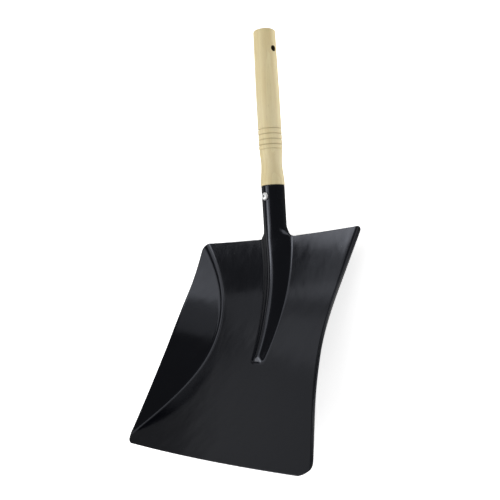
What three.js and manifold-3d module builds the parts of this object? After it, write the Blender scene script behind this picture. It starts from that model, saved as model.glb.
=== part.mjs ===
// Hand scoop for grain: one pressed steel sheet makes the pan, its ridge and its rolled socket,
// a turned wooden handle is pushed into the socket, and one pan-head screw holds it there.
//
// Frame: +X to the right, +Y from the pan towards the handle, +Z up. The scoop lies as it comes
// to rest on a bench, rocked back on a flat in its floor, so its mouth is raised. The origin is on
// the bench under the middle of the scoop.

import * as THREE from 'three';
import { mergeVertices } from 'three/addons/utils/BufferGeometryUtils.js';
import Module from 'manifold-3d';

const wasm = await Module();
wasm.setup();

// Driving dimensions, in millimetres. Names ending in DEG are degrees.
const SHEET = 1.2;               // steel thickness, laid under the visible upper face
const PAN_LENGTH = 288;          // along the floor, from the rear edge to the front edge
const REAR_WIDTH = 265;          // between the blank's side edges, before folding
const FRONT_WIDTH = 292;
const SIDE_BOW = 3.4;            // the side edges swell by this much half way along
const REAR_BOW = 3.2;            // the rear edge's middle lies this far ahead of its ends
const FRONT_BOW = 3.3;           // the front edge's middle lies this far ahead of its ends
const REAR_CORNER = 12;          // corner radii of the blank
const FRONT_CORNER = 15.5;
const REAR_CURVATURE = 0.0043;   // of the floor, per millimetre; the front edge is straight
const MIDDLE_CURVATURE = 0.0038;

const CREASE_REAR_INSET = 2.3;   // where each fold line leaves the rear edge, from the corner
const CREASE_FRONT_INSET = 12.8; // where it runs out of the side edge, short of the front
const CREASE_REAR_DEG = 31.6;    // its direction there, from the pan's length
const CREASE_FRONT_DEG = 29.1;
const CREASE_REAR_REACH = 142.5; // how strongly each end direction holds
const CREASE_FRONT_REACH = 114.3;
const FOLD_REAR_DEG = 65.1;      // how far the wall turns up from the floor
const FOLD_MIDDLE_DEG = 50.6;
const FOLD_FRONT_DEG = 78.3;
const FOLD_REAR_RADIUS = 13;
const FOLD_FRONT_RADIUS = 4.5;

const REST_FLAT_CENTRE = 110;    // from the rear edge, under the scoop's centre of mass
const REST_FLAT_LENGTH = 28;

const RIDGE_TIP = 160.5;         // from the rear edge to the ridge's front end
const RIDGE_HEIGHT = 15.5;       // of the crest's straight run, carried back to the rear edge
const RIDGE_FALL = 0.069;        // height lost per millimetre forwards
const RIDGE_ROOT_DIP = 1.5;      // the crest dips this much at the rear edge, to meet the socket,
const RIDGE_ROOT_REACH = 14;     // and the dip dies away over this length
const RIDGE_HALF_WIDTH = 25.2;   // at the rear edge
const RIDGE_NARROWING = [0.075, 0.00014]; // half width lost, per mm and per square mm
const RIDGE_REAR_CREST = 0.26;   // roundness of the crest, as a share of the half width,
const RIDGE_TIP_CREST = 0.5;     // at the rear edge and at the front end
const RIDGE_END_SLOPE = 0.75;    // of the facet that closes the ridge's front end
const RIDGE_END_FLAT = 3.5;      // half width of the facet's straight foot, seen from above,
const RIDGE_END_RADIUS = 9;      // and the radius that it turns back with on either side
const RIDGE_END_BLEND = 1.5;     // height over which the facet rounds into the crest
const RIDGE_MARGIN = 6;          // floor on either side that is meshed with the ridge
const RIDGE_FOOT = 1.6;          // height over which the ridge blends into the floor

const SOCKET_LENGTH = 64;        // from the rear edge to the mouth
const SOCKET_ANGLE_DEG = 49.9;   // axis against the straight front of the floor
const SOCKET_ROOT_RADIUS = 14.1; // outside
const SOCKET_MOUTH_RADIUS = 14.4;
const SOCKET_WRAP_DEG = 176;     // half of the rolled tube; the rest is the open seam beneath
const ROOT_FILLET = 13;          // length of the hollow curves where its edges leave the pan
const ROOT_BLEND = 16;           // length over which the tent-shaped ridge turns into a tube
const ROOT_WRAP = 28;            // length over which the seam closes
const ROOT_WRAP_DEG = 135;       // half of the roll where it leaves the pan
const ROOT_FLANK = 0.7;          // share of the ridge's width that runs on straight into the tube

const FIT_GAP = 0.3;             // between pieces that touch
const SHOULDER_GAP = 0.4;        // between the handle's shoulder and the socket's mouth

// The turned handle. Places along it are distances from the socket's mouth.
const TENON_LENGTH = 44;         // inside the socket
const TENON_RADIUS = SOCKET_ROOT_RADIUS - SHEET - 2 * FIT_GAP;
const TENON_CHAMFER = 1;
const COLLAR_CHAMFER = 0.6;
const WAIST = [                  // [radius, place], from the collar's end to the first groove
  [14.75, 7],
  [14.1, 13],
  [13.4, 20],
  [13.1, 27.5],
  [13.5, 35],
  [14.25, 43.4],
];
const GRIP_RADIUS = 14.55;
const GROOVES_AT = [44.9, 50.3, 56.8, 63.4, 70];
const GROOVE_RADIUS = 13.65;     // at the bottom of each groove
const GROOVE_HALF_WIDTH = 1.5;
const GRIP_MIDDLE = 114;         // the grip is cylindrical up to here and then tapers
const GRIP_END = 192.5;
const GRIP_END_RADIUS = 13.7;
const DOME_EDGE = 1.6;           // rounding of the end's rim
const DOME_HEIGHT = 4.1;
const HOLE_FROM_MOUTH = 169;     // hanging hole, straight across
const HOLE_RADIUS = 3.6;

// The screw, driven through the socket's top into the tenon.
const SCREW_FROM_MOUTH = 13.4;
const SCREW_HEAD_RADIUS = 4.8;
const SCREW_HEAD_HEIGHT = 3;
const SCREW_HEAD_ROUNDING = 0.6; // share of the height lost at the rim
const SCREW_SHANK_RADIUS = 2.1;
const SCREW_LENGTH = 19;
const SCREW_POINT = 5;
const RECESS_WIDTH = 1.2;
const RECESS_SPAN = 4.4;
const RECESS_DEPTH = 1.7;
const RECESS_TURN_DEG = 60;

const rad = THREE.MathUtils.degToRad;
const { lerp, clamp, smoothstep } = THREE.MathUtils;

// ---- The floor: a sheet bent about axes along X, flat at its front ----

// Angle of the floor above its straight front end, at a distance from the rear edge. The curvature
// is a parabola in the distance, and this is its integral.
function bareSlope(along) {
  const t = clamp(along / PAN_LENGTH, 0, 1);
  const turned = (s) => REAR_CURVATURE * (s - 1.5 * s ** 2 + (2 / 3) * s ** 3)
    + MIDDLE_CURVATURE * (2 * s ** 2 - (4 / 3) * s ** 3);
  return PAN_LENGTH * (turned(1) - turned(t));
}

// The same with the rest flat pressed in: no turn along the flat, twice the turn beside it.
function slope(along) {
  const offset = along - REST_FLAT_CENTRE;
  const half = REST_FLAT_LENGTH / 2;
  const reach = Math.abs(offset);
  if (reach >= 2 * half) return bareSlope(along);
  const warped = Math.sign(offset) * Math.max(0, 2 * (reach - half));
  return bareSlope(REST_FLAT_CENTRE + warped);
}

const REST_SLOPE = slope(REST_FLAT_CENTRE);
const PROFILE_STEP = 0.5;

// Points of the floor's centre line every PROFILE_STEP, from the rear edge past the front one.
function makeProfile() {
  const points = [{ y: 0, z: 0 }];
  const steps = Math.ceil((PAN_LENGTH + FRONT_BOW) / PROFILE_STEP) + 1;
  for (let i = 0; i < steps; i += 1) {
    const tilt = slope((i + 0.5) * PROFILE_STEP) - REST_SLOPE;
    const last = points[i];
    points.push({
      y: last.y - Math.cos(tilt) * PROFILE_STEP,
      z: last.z - Math.sin(tilt) * PROFILE_STEP,
    });
  }
  const rest = points[Math.round(REST_FLAT_CENTRE / PROFILE_STEP)];
  const { y, z } = rest;
  return points.map((point) => ({ y: point.y - y, z: point.z - z + SHEET }));
}

const profile = makeProfile();

// A place on the floor with its two directions: forwards along the sheet, and up out of it.
function floorFrame(x, along) {
  const place = Math.max(0, along) / PROFILE_STEP;
  const index = Math.min(Math.floor(place), profile.length - 2);
  const part = place - index;
  const tilt = slope(along) - REST_SLOPE;
  return {
    origin: new THREE.Vector3(
      x,
      lerp(profile[index].y, profile[index + 1].y, part),
      lerp(profile[index].z, profile[index + 1].z, part),
    ),
    forward: new THREE.Vector3(0, -Math.cos(tilt), -Math.sin(tilt)),
    up: new THREE.Vector3(0, -Math.sin(tilt), Math.cos(tilt)),
  };
}

// ---- The ridge: a tent with a rounded crest and a blunt front end ----

function ridgeHalfWidth(along) {
  const [linear, square] = RIDGE_NARROWING;
  return RIDGE_HALF_WIDTH - linear * along - square * along ** 2;
}

// Half the width of the mesh block that carries the ridge: the tent and a little floor beside it.
const ridgeBlockHalfWidth = (along) => ridgeHalfWidth(Math.min(along, RIDGE_TIP)) + RIDGE_MARGIN;

function roundedTent(share, roundness) {
  const top = Math.hypot(1, roundness);
  return (top - Math.hypot(share, roundness)) / (top - roundness);
}

function softMinimum(a, b, blend) {
  const mix = Math.max(0, blend - Math.abs(a - b)) / blend;
  return Math.min(a, b) - (mix ** 2 * blend) / 4;
}

function ridgeLift(x, along) {
  const dip = RIDGE_ROOT_DIP * Math.exp(-along / RIDGE_ROOT_REACH);
  const crest = RIDGE_HEIGHT - RIDGE_FALL * along - dip;
  const beforeTip = Math.min(along, RIDGE_TIP);
  const roundness = lerp(RIDGE_REAR_CREST, RIDGE_TIP_CREST, beforeTip / RIDGE_TIP);
  const tent = crest * roundedTent(Math.abs(x) / ridgeHalfWidth(beforeTip), roundness);
  const beside = Math.max(0, Math.abs(x) - RIDGE_END_FLAT);
  const front = RIDGE_TIP - along - beside ** 2 / (2 * RIDGE_END_RADIUS);
  const height = softMinimum(tent, RIDGE_END_SLOPE * front, RIDGE_END_BLEND);
  if (height > RIDGE_FOOT) return height;
  return Math.max(0, height + RIDGE_FOOT) ** 2 / (4 * RIDGE_FOOT);
}

// ---- The blank's outline and its two curved fold lines ----

function halfWidth(along) {
  const t = clamp(along / PAN_LENGTH, 0, 1);
  const side = lerp(REAR_WIDTH, FRONT_WIDTH, t) / 2 + SIDE_BOW * 4 * t * (1 - t);
  const cut = (radius, distance) => {
    const inside = Math.max(0, radius - distance);
    return radius - Math.sqrt(radius ** 2 - inside ** 2);
  };
  return side - cut(REAR_CORNER, along) - cut(FRONT_CORNER, PAN_LENGTH - along);
}

// Distance from the rear edge's end line of a point in the row that starts at "along".
function bowedAlong(x, along) {
  const rear = REAR_BOW * Math.max(0, 1 - along / REST_FLAT_CENTRE);
  const front = FRONT_BOW * Math.max(0, (along - RIDGE_TIP) / (PAN_LENGTH - RIDGE_TIP));
  const bow = (width) => 1 - (2 * x / width) ** 2;
  return along + rear * bow(REAR_WIDTH) + front * bow(FRONT_WIDTH);
}

const creaseStart = new THREE.Vector2(REAR_WIDTH / 2 - CREASE_REAR_INSET, 0);
const creaseEnd = new THREE.Vector2(
  lerp(FRONT_WIDTH, REAR_WIDTH, CREASE_FRONT_INSET / PAN_LENGTH) / 2,
  PAN_LENGTH - CREASE_FRONT_INSET,
);
const heading = (degrees) => new THREE.Vector2(Math.sin(rad(degrees)), Math.cos(rad(degrees)));
const crease = new THREE.CubicBezierCurve(
  creaseStart,
  creaseStart.clone().addScaledVector(heading(-CREASE_REAR_DEG), CREASE_REAR_REACH),
  creaseEnd.clone().addScaledVector(heading(CREASE_FRONT_DEG), -CREASE_FRONT_REACH),
  creaseEnd,
);
const CREASE_SAMPLES = 100;
const CREASE_PASSES = 20;        // of the search for the nearest place on the curve
const creaseLength = crease.getLength();
const creasePoints = crease.getPoints(CREASE_SAMPLES);

// The nearest place on the right-hand fold line, or on its straight run past either end, and the
// signed distance to it, positive towards the side edge.
function nearestOnCrease(spot) {
  const distances = creasePoints.map((point) => point.distanceToSquared(spot));
  let t = distances.indexOf(Math.min(...distances)) / CREASE_SAMPLES;
  for (let pass = 0; pass < CREASE_PASSES; pass += 1) {
    const gap = spot.clone().sub(crease.getPoint(t));
    t = clamp(t + gap.dot(crease.getTangent(t)) / creaseLength, 0, 1);
  }
  const tangent = crease.getTangent(t);
  const onCurve = crease.getPoint(t);
  const overrun = t > 0 && t < 1 ? 0 : spot.clone().sub(onCurve).dot(tangent);
  const place = onCurve.addScaledVector(tangent, overrun);
  const outward = new THREE.Vector2(tangent.y, -tangent.x);
  return { place, outward, distance: spot.clone().sub(place).dot(outward) };
}

function foldAngle(along) {
  const t = clamp(along / PAN_LENGTH, 0, 1);
  const degrees = FOLD_REAR_DEG * (1 - t) * (1 - 2 * t) + FOLD_MIDDLE_DEG * 4 * t * (1 - t)
    + FOLD_FRONT_DEG * t * (2 * t - 1);
  return rad(degrees);
}

const foldRadius = (along) => lerp(FOLD_REAR_RADIUS, FOLD_FRONT_RADIUS, clamp(along / PAN_LENGTH, 0, 1));

// Half the width of the rounded bend, measured in the blank.
const bendReach = (along) => foldRadius(along) * Math.tan(foldAngle(along) / 2);

// Takes a point of the flat blank to its place on the pressed sheet's upper face.
function press(x, along) {
  const spot = new THREE.Vector2(Math.abs(x), along);
  const { place, outward, distance } = nearestOnCrease(spot);
  const reach = bendReach(place.y);
  let point;
  if (distance <= -reach) {
    const { origin, up } = floorFrame(spot.x, along);
    point = origin.addScaledVector(up, ridgeLift(x, along));
  } else {
    const angle = foldAngle(place.y);
    const radius = foldRadius(place.y);
    const turned = angle * Math.min(1, (distance + reach) / (2 * reach));
    const straight = Math.max(0, distance - reach);
    const { origin, forward, up } = floorFrame(place.x, place.y);
    const across = -reach + radius * Math.sin(turned) + straight * Math.cos(angle);
    const rise = radius * (1 - Math.cos(turned)) + straight * Math.sin(angle);
    point = origin.addScaledVector(up, rise);
    point.x += across * outward.x;
    point.addScaledVector(forward, across * outward.y);
  }
  point.x *= Math.sign(x) || 1;
  return point;
}

// ---- The socket: the same sheet, rolled into a tube round the handle's axis ----

const root = floorFrame(0, REAR_BOW);
const rootSlope = slope(REAR_BOW) - REST_SLOPE;
const axisSlope = rad(SOCKET_ANGLE_DEG) - REST_SLOPE;
const axis = new THREE.Vector3(0, Math.cos(axisSlope), Math.sin(axisSlope));
const mouth = root.origin.clone().addScaledVector(axis, SOCKET_LENGTH);

// A point of the socket's outer face: "behind" the rear edge, at "share" from -1 to 1 across.
function rollSocket(share, behind) {
  const middle = smoothstep(behind, 0, ROOT_BLEND);
  const edge = Math.sqrt(1 - Math.max(0, 1 - behind / ROOT_FILLET) ** 2);
  const round = lerp(middle, edge, smoothstep(Math.abs(share), ROOT_FLANK, 1));
  const wrap = lerp(ROOT_WRAP_DEG, SOCKET_WRAP_DEG, smoothstep(behind, 0, ROOT_WRAP));
  const radius = lerp(SOCKET_ROOT_RADIUS, SOCKET_MOUTH_RADIUS, behind / SOCKET_LENGTH);
  const tilt = lerp(rootSlope, axisSlope, middle);
  const x = share * ridgeBlockHalfWidth(REAR_BOW);
  const side = lerp(x, radius * Math.sin(rad(wrap * share)), round);
  const rise = lerp(ridgeLift(x, REAR_BOW), radius * Math.cos(rad(wrap * share)), round);
  const up = new THREE.Vector3(0, -Math.sin(tilt), Math.cos(tilt));
  const point = root.origin.clone().addScaledVector(axis, behind).addScaledVector(up, rise);
  point.x = side;
  return point;
}

// ---- Meshing the sheet ----

// Evenly spaced numbers, and angles of a quarter circle, each list without its last value.
const even = (from, to, count) => Array.from({ length: count }, (_, i) => lerp(from, to, i / count));
const quarterTurns = (count) => even(0, Math.PI / 2, count);

// Rows of the pan run from the rear edge to the front one, close together round the corners and
// across the ridge's front end. Each number counts the rows in one stretch.
const REAR_CORNER_ROWS = 3;
const RISE_ROWS = 5;
const REST_FLAT_ROWS = 2;
const RIDGE_ROWS = 2;
const RIDGE_END_ROWS = 4;
const FRONT_ROWS = 7;
const FRONT_CORNER_ROWS = 4;
const flatStart = REST_FLAT_CENTRE - REST_FLAT_LENGTH / 2;
const flatEnd = REST_FLAT_CENTRE + REST_FLAT_LENGTH / 2;
const ridgeEndStart = RIDGE_TIP - 8;
const ridgeEndStop = RIDGE_TIP + 3;
const cornerStart = PAN_LENGTH - FRONT_CORNER;
const panRows = [
  ...quarterTurns(REAR_CORNER_ROWS).map((turn) => REAR_CORNER * (1 - Math.cos(turn))),
  ...even(REAR_CORNER, flatStart, RISE_ROWS),
  ...even(flatStart, flatEnd, REST_FLAT_ROWS),
  ...even(flatEnd, ridgeEndStart, RIDGE_ROWS),
  ...even(ridgeEndStart, ridgeEndStop, RIDGE_END_ROWS),
  ...even(ridgeEndStop, cornerStart, FRONT_ROWS),
  ...quarterTurns(FRONT_CORNER_ROWS).map((turn) => cornerStart + FRONT_CORNER * Math.sin(turn)),
  PAN_LENGTH,
];

// Columns across each half of the pan, from the middle to the side edge.
const RIDGE_COLUMNS = 12;
const FLOOR_COLUMNS = 3;
const BEND_COLUMNS = 4;
const WALL_COLUMNS = 3;
const BEND_ROOM = 1.15;          // the bend's columns cover this much more than the bend itself
const BEND_MARGIN = 6;           // least room kept for the bend and the wall in a row
const WALL_MARGIN = 3;

// Rows of the socket where it leaves the pan, and along the finished tube.
const FILLET_ROWS = 7;
const ROOT_ROWS = 5;
const TUBE_ROWS = 3;

// Where the fold line, or its straight run past its ends, crosses a row.
function creaseAcross(along) {
  const next = creasePoints.findIndex((point) => point.y >= along);
  if (next > 0) {
    const [a, b] = [creasePoints[next - 1], creasePoints[next]];
    return lerp(a.x, b.x, (along - a.y) / (b.y - a.y));
  }
  return next === 0 ? creaseStart.x
    : creaseEnd.x + (along - creaseEnd.y) * Math.tan(rad(CREASE_FRONT_DEG));
}

// Distances across the right half of a row, from the middle to the side edge.
function rightColumns(along) {
  const edge = halfWidth(along);
  const fold = creaseAcross(along);
  const reach = BEND_ROOM * bendReach(along);
  const block = ridgeBlockHalfWidth(along);
  const bendStart = Math.min(fold - reach, edge - BEND_MARGIN);
  const bendEnd = Math.min(fold + reach, edge - WALL_MARGIN);
  return [
    ...even(0, block, RIDGE_COLUMNS),
    ...even(block, bendStart, FLOOR_COLUMNS),
    ...even(bendStart, bendEnd, BEND_COLUMNS),
    ...even(bendEnd, edge, WALL_COLUMNS),
    edge,
  ];
}

function mirrored(right) {
  return [...right.slice(1).reverse().map((x) => -x), ...right];
}

// One sheet of quads: the pan's grid, with the socket's grid growing from its rear row.
function makeSheetFace() {
  const points = [];
  const quads = [];
  const add = (point) => points.push(point) - 1;
  const pan = panRows.map((along) => mirrored(rightColumns(along))
    .map((x) => add(press(x, bowedAlong(x, along)))));
  for (let i = 0; i + 1 < pan.length; i += 1) {
    for (let j = 0; j + 1 < pan[i].length; j += 1) {
      quads.push([pan[i][j], pan[i + 1][j], pan[i + 1][j + 1], pan[i][j + 1]]);
    }
  }
  const middle = (pan[0].length - 1) / 2;
  const rootRow = pan[0].slice(middle - RIDGE_COLUMNS, middle + RIDGE_COLUMNS + 1);
  const socket = [rootRow];
  const socketRows = [
    ...quarterTurns(FILLET_ROWS).map((turn) => ROOT_FILLET * (1 - Math.cos(turn))).slice(1),
    ...even(ROOT_FILLET, ROOT_WRAP, ROOT_ROWS),
    ...even(ROOT_WRAP, SOCKET_LENGTH, TUBE_ROWS),
    SOCKET_LENGTH,
  ];
  for (const behind of socketRows) {
    socket.push(rootRow.map((_, i) => add(rollSocket(i / RIDGE_COLUMNS - 1, behind))));
  }
  for (let i = 0; i + 1 < socket.length; i += 1) {
    for (let j = 0; j + 1 < rootRow.length; j += 1) {
      quads.push([socket[i][j], socket[i][j + 1], socket[i + 1][j + 1], socket[i + 1][j]]);
    }
  }
  return { points, quads };
}

// Lays the sheet's thickness under its face and closes it all round its edge.
function thicken({ points, quads }, thickness) {
  const normals = points.map(() => new THREE.Vector3());
  const used = new Map();
  for (const quad of quads) {
    const [a, b, c, d] = quad.map((i) => points[i]);
    const normal = c.clone().sub(a).cross(d.clone().sub(b));
    for (let i = 0; i < 4; i += 1) {
      normals[quad[i]].add(normal);
      used.set(`${quad[i]},${quad[(i + 1) % 4]}`, [quad[i], quad[(i + 1) % 4]]);
    }
  }
  const under = points.map((point, i) => {
    const down = normals[i].normalize().negate();
    return point.clone().addScaledVector(down, thickness);
  });
  const count = points.length;
  const faces = quads.flatMap(([a, b, c, d]) => [
    [a, b, c, d],
    [d + count, c + count, b + count, a + count],
  ]);
  for (const [a, b] of used.values()) {
    if (!used.has(`${b},${a}`)) faces.push([b, a, a + count, b + count]);
  }
  const geometry = new THREE.BufferGeometry();
  geometry.setFromPoints([...points, ...under]);
  geometry.setIndex(faces.flatMap(([a, b, c, d]) => [a, b, c, a, c, d]));
  return geometry;
}

// ---- Solids ----

// How finely the round pieces are divided: sides round them, and steps along their curves.
const HANDLE_SIDES = 32;
const HOLE_SIDES = 20;
const SCREW_SIDES = 24;
const SCREW_HOLE_SIDES = 16;
const WAIST_STEPS = 12;
const RIM_STEPS = 4;
const DOME_STEPS = 3;
const HEAD_STEPS = 4;

function toSolid(source) {
  const geometry = source.clone();
  geometry.deleteAttribute('normal');
  geometry.deleteAttribute('uv');
  const merged = mergeVertices(geometry, 1e-4);
  const triVerts = [];
  const { array } = merged.index;
  for (let i = 0; i < array.length; i += 3) {
    const [a, b, c] = array.slice(i, i + 3);
    if (a !== b && b !== c && c !== a) triVerts.push(a, b, c);
  }
  return new wasm.Manifold(new wasm.Mesh({
    numProp: 3,
    vertProperties: new Float32Array(merged.attributes.position.array),
    triVerts: new Uint32Array(triVerts),
  }));
}

function toMesh(name, solid, material) {
  const { vertProperties, triVerts } = solid.getMesh();
  const geometry = new THREE.BufferGeometry();
  geometry.setAttribute('position', new THREE.BufferAttribute(vertProperties, 3));
  geometry.setIndex(new THREE.BufferAttribute(triVerts, 1));
  geometry.computeVertexNormals();
  const mesh = new THREE.Mesh(geometry, material);
  mesh.name = name;
  return mesh;
}

// Turns a solid whose own axis is +Y, and that starts at its origin, to its place on the scoop.
function placed(geometry, direction, position) {
  const turn = new THREE.Quaternion().setFromUnitVectors(new THREE.Vector3(0, 1, 0), direction);
  return geometry.applyQuaternion(turn).translate(position.x, position.y, position.z);
}

const socketUp = new THREE.Vector3(0, -axis.z, axis.y);
const screwSeat = mouth.clone()
  .addScaledVector(axis, -SCREW_FROM_MOUTH)
  .addScaledVector(socketUp, SOCKET_MOUTH_RADIUS + FIT_GAP);

function makeScrewHole() {
  const radius = SCREW_SHANK_RADIUS + FIT_GAP;
  const length = SCREW_LENGTH + FIT_GAP + SOCKET_MOUTH_RADIUS;
  const hole = new THREE.CylinderGeometry(radius, radius, length, SCREW_HOLE_SIDES);
  hole.translate(0, length / 2 - SCREW_LENGTH - FIT_GAP, 0);
  return toSolid(placed(hole, socketUp, screwSeat));
}

function makePan() {
  return toSolid(thicken(makeSheetFace(), SHEET)).subtract(makeScrewHole());
}

// The handle's outline, as [radius, distance from the socket's mouth].
function handleOutline() {
  const [[collarRadius]] = WAIST;
  const tenon = [
    [0, -TENON_LENGTH],
    [TENON_RADIUS - TENON_CHAMFER, -TENON_LENGTH],
    [TENON_RADIUS, TENON_CHAMFER - TENON_LENGTH],
  ];
  const shoulder = [
    [TENON_RADIUS, SHOULDER_GAP],
    [collarRadius - COLLAR_CHAMFER, SHOULDER_GAP],
    [collarRadius, SHOULDER_GAP + COLLAR_CHAMFER],
  ];
  const waist = new THREE.SplineCurve(WAIST.map((point) => new THREE.Vector2(...point)))
    .getPoints(WAIST_STEPS)
    .map(({ x, y }) => [x, y]);
  const grooves = GROOVES_AT.flatMap((at) => [
    [GRIP_RADIUS, at - GROOVE_HALF_WIDTH],
    [GROOVE_RADIUS, at],
    [GRIP_RADIUS, at + GROOVE_HALF_WIDTH],
  ]).slice(1);
  const rim = quarterTurns(RIM_STEPS).map((turn) => [
    GRIP_END_RADIUS - DOME_EDGE * (1 - Math.cos(turn)),
    GRIP_END + DOME_EDGE * Math.sin(turn),
  ]);
  const dome = even(1, 0, DOME_STEPS).map((share) => [
    (GRIP_END_RADIUS - DOME_EDGE) * share,
    GRIP_END + DOME_HEIGHT - (DOME_HEIGHT - DOME_EDGE) * share ** 2,
  ]);
  const crown = [0, GRIP_END + DOME_HEIGHT];
  return [...tenon, ...shoulder, ...waist, ...grooves, [GRIP_RADIUS, GRIP_MIDDLE], ...rim, ...dome, crown];
}

function makeHandle() {
  const outline = handleOutline().map(([radius, at]) => new THREE.Vector2(radius, at));
  const body = toSolid(placed(new THREE.LatheGeometry(outline, HANDLE_SIDES), axis, mouth));
  const hole = new THREE.CylinderGeometry(HOLE_RADIUS, HOLE_RADIUS, 4 * GRIP_END_RADIUS, HOLE_SIDES);
  const across = new THREE.Vector3(1, 0, 0);
  const middle = mouth.clone().addScaledVector(axis, HOLE_FROM_MOUTH);
  return body.subtract(toSolid(placed(hole, across, middle))).subtract(makeScrewHole());
}

function makeScrew() {
  const head = even(1, 0, HEAD_STEPS).map((share) => [
    SCREW_HEAD_RADIUS * share,
    SCREW_HEAD_HEIGHT * (1 - SCREW_HEAD_ROUNDING * share ** 4),
  ]);
  const outline = [
    [0, -SCREW_LENGTH],
    [SCREW_SHANK_RADIUS, SCREW_POINT - SCREW_LENGTH],
    [SCREW_SHANK_RADIUS, 0],
    [SCREW_HEAD_RADIUS, 0],
    ...head,
    [0, SCREW_HEAD_HEIGHT],
  ].map(([radius, at]) => new THREE.Vector2(radius, at));
  const recess = [0, Math.PI / 2].map((turn) => {
    const slot = new THREE.BoxGeometry(RECESS_SPAN, 2 * RECESS_DEPTH, RECESS_WIDTH);
    slot.rotateY(turn + rad(RECESS_TURN_DEG)).translate(0, SCREW_HEAD_HEIGHT, 0);
    return toSolid(placed(slot, socketUp, screwSeat));
  });
  const body = toSolid(placed(new THREE.LatheGeometry(outline, SCREW_SIDES), socketUp, screwSeat));
  return body.subtract(recess[0]).subtract(recess[1]);
}

// ---- The scoop ----

const enamel = new THREE.MeshStandardMaterial({ color: 0x1b1d20, roughness: 0.38, metalness: 0.2 });
const wood = new THREE.MeshStandardMaterial({ color: 0xdccb9c, roughness: 0.62, metalness: 0 });
const zinc = new THREE.MeshStandardMaterial({ color: 0xc9ccce, roughness: 0.28, metalness: 1 });

const scoop = new THREE.Group();
scoop.add(
  toMesh('pan_with_socket', makePan(), enamel),
  toMesh('handle', makeHandle(), wood),
  toMesh('socket_screw', makeScrew(), zinc),
);

// The origin goes under the middle of the whole scoop, on the bench.
const middle = new THREE.Box3().setFromObject(scoop, true).getCenter(new THREE.Vector3());
scoop.position.set(-middle.x, -middle.y, 0);

const group = new THREE.Group();
group.add(scoop);

export default group;
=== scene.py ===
"""Looks of the hand grain scoop: its pressed sheet, turned handle and screw, drawn finely."""
import math

import bmesh
import bpy
import numpy as np
from mathutils import Matrix, Vector
from mathutils.kdtree import KDTree


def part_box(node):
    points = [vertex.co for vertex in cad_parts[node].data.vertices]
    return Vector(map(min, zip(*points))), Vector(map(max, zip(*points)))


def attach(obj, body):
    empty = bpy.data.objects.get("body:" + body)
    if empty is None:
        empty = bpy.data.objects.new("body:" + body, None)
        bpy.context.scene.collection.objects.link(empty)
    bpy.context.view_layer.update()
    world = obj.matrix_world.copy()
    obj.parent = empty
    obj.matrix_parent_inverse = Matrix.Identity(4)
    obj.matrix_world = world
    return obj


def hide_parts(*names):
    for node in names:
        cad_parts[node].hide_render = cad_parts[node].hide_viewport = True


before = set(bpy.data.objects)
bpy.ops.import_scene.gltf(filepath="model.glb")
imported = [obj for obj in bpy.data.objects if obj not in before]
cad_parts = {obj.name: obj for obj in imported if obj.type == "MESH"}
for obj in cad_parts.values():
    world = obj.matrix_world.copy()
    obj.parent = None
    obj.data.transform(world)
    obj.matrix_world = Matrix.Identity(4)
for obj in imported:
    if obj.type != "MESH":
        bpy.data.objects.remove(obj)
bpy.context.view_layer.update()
MM = 0.001
TINY = 1e-9

# ---- Driving dimensions of the part: millimetres, degrees where the name says so, and shares ----

SHEET = 1.2
EDGE_RADIUS = 0.45
PAN_LENGTH = 288
REAR_WIDTH, FRONT_WIDTH = 265, 292
SIDE_BOW, REAR_BOW, FRONT_BOW = 3.4, 3.2, 3.3
REAR_CORNER, FRONT_CORNER = 12, 15.5
REAR_CURVATURE, MIDDLE_CURVATURE = 0.0043, 0.0038  # radians per millimetre
CREASE_REAR_INSET, CREASE_FRONT_INSET = 2.3, 12.8
CREASE_REAR_DEG, CREASE_FRONT_DEG = 31.6, 29.1
CREASE_REAR_REACH, CREASE_FRONT_REACH = 142.5, 114.3
FOLD_REAR_DEG, FOLD_MIDDLE_DEG, FOLD_FRONT_DEG = 65.1, 50.6, 78.3
FOLD_REAR_RADIUS, FOLD_FRONT_RADIUS = 13, 4.5
REST_CENTRE, REST_FLAT_LENGTH = 110, 28
REST_REACH = 70
REST_EASE = (REST_FLAT_LENGTH / 2) ** 2 / (REST_REACH / 2)

RIDGE_TIP = 160.5
RIDGE_HEIGHT, RIDGE_FALL = 15.5, 0.069
RIDGE_ROOT_DIP, RIDGE_ROOT_REACH = 1.5, 14
RIDGE_HALF_WIDTH = 25.2
RIDGE_NARROWING = (0.075, 0.00014)  # by the distance along, and by its square
RIDGE_REAR_CREST, RIDGE_TIP_CREST = 0.26, 0.5
RIDGE_END_SLOPE, RIDGE_END_RADIUS = 0.75, 9
RIDGE_END_FLAT, RIDGE_END_BLEND = 3.5, 1.5
RIDGE_FOOT = 1.6
RIDGE_MARGIN = 6

SOCKET_LENGTH = 64
SOCKET_ANGLE_DEG = 49.9
SOCKET_ROOT_RADIUS, SOCKET_MOUTH_RADIUS = 14.1, 14.4
SOCKET_WRAP_DEG = 176
ROOT_FILLET, ROOT_BLEND, ROOT_WRAP, ROOT_WRAP_DEG, ROOT_FLANK = 13, 16, 28, 135, 0.7

FIT_GAP = 0.3
SHOULDER_GAP = 0.4
TENON_LENGTH = 44
TENON_RADIUS = SOCKET_ROOT_RADIUS - SHEET - 2 * FIT_GAP
TENON_CHAMFER = 1
COLLAR_ROUND = 0.6
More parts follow.
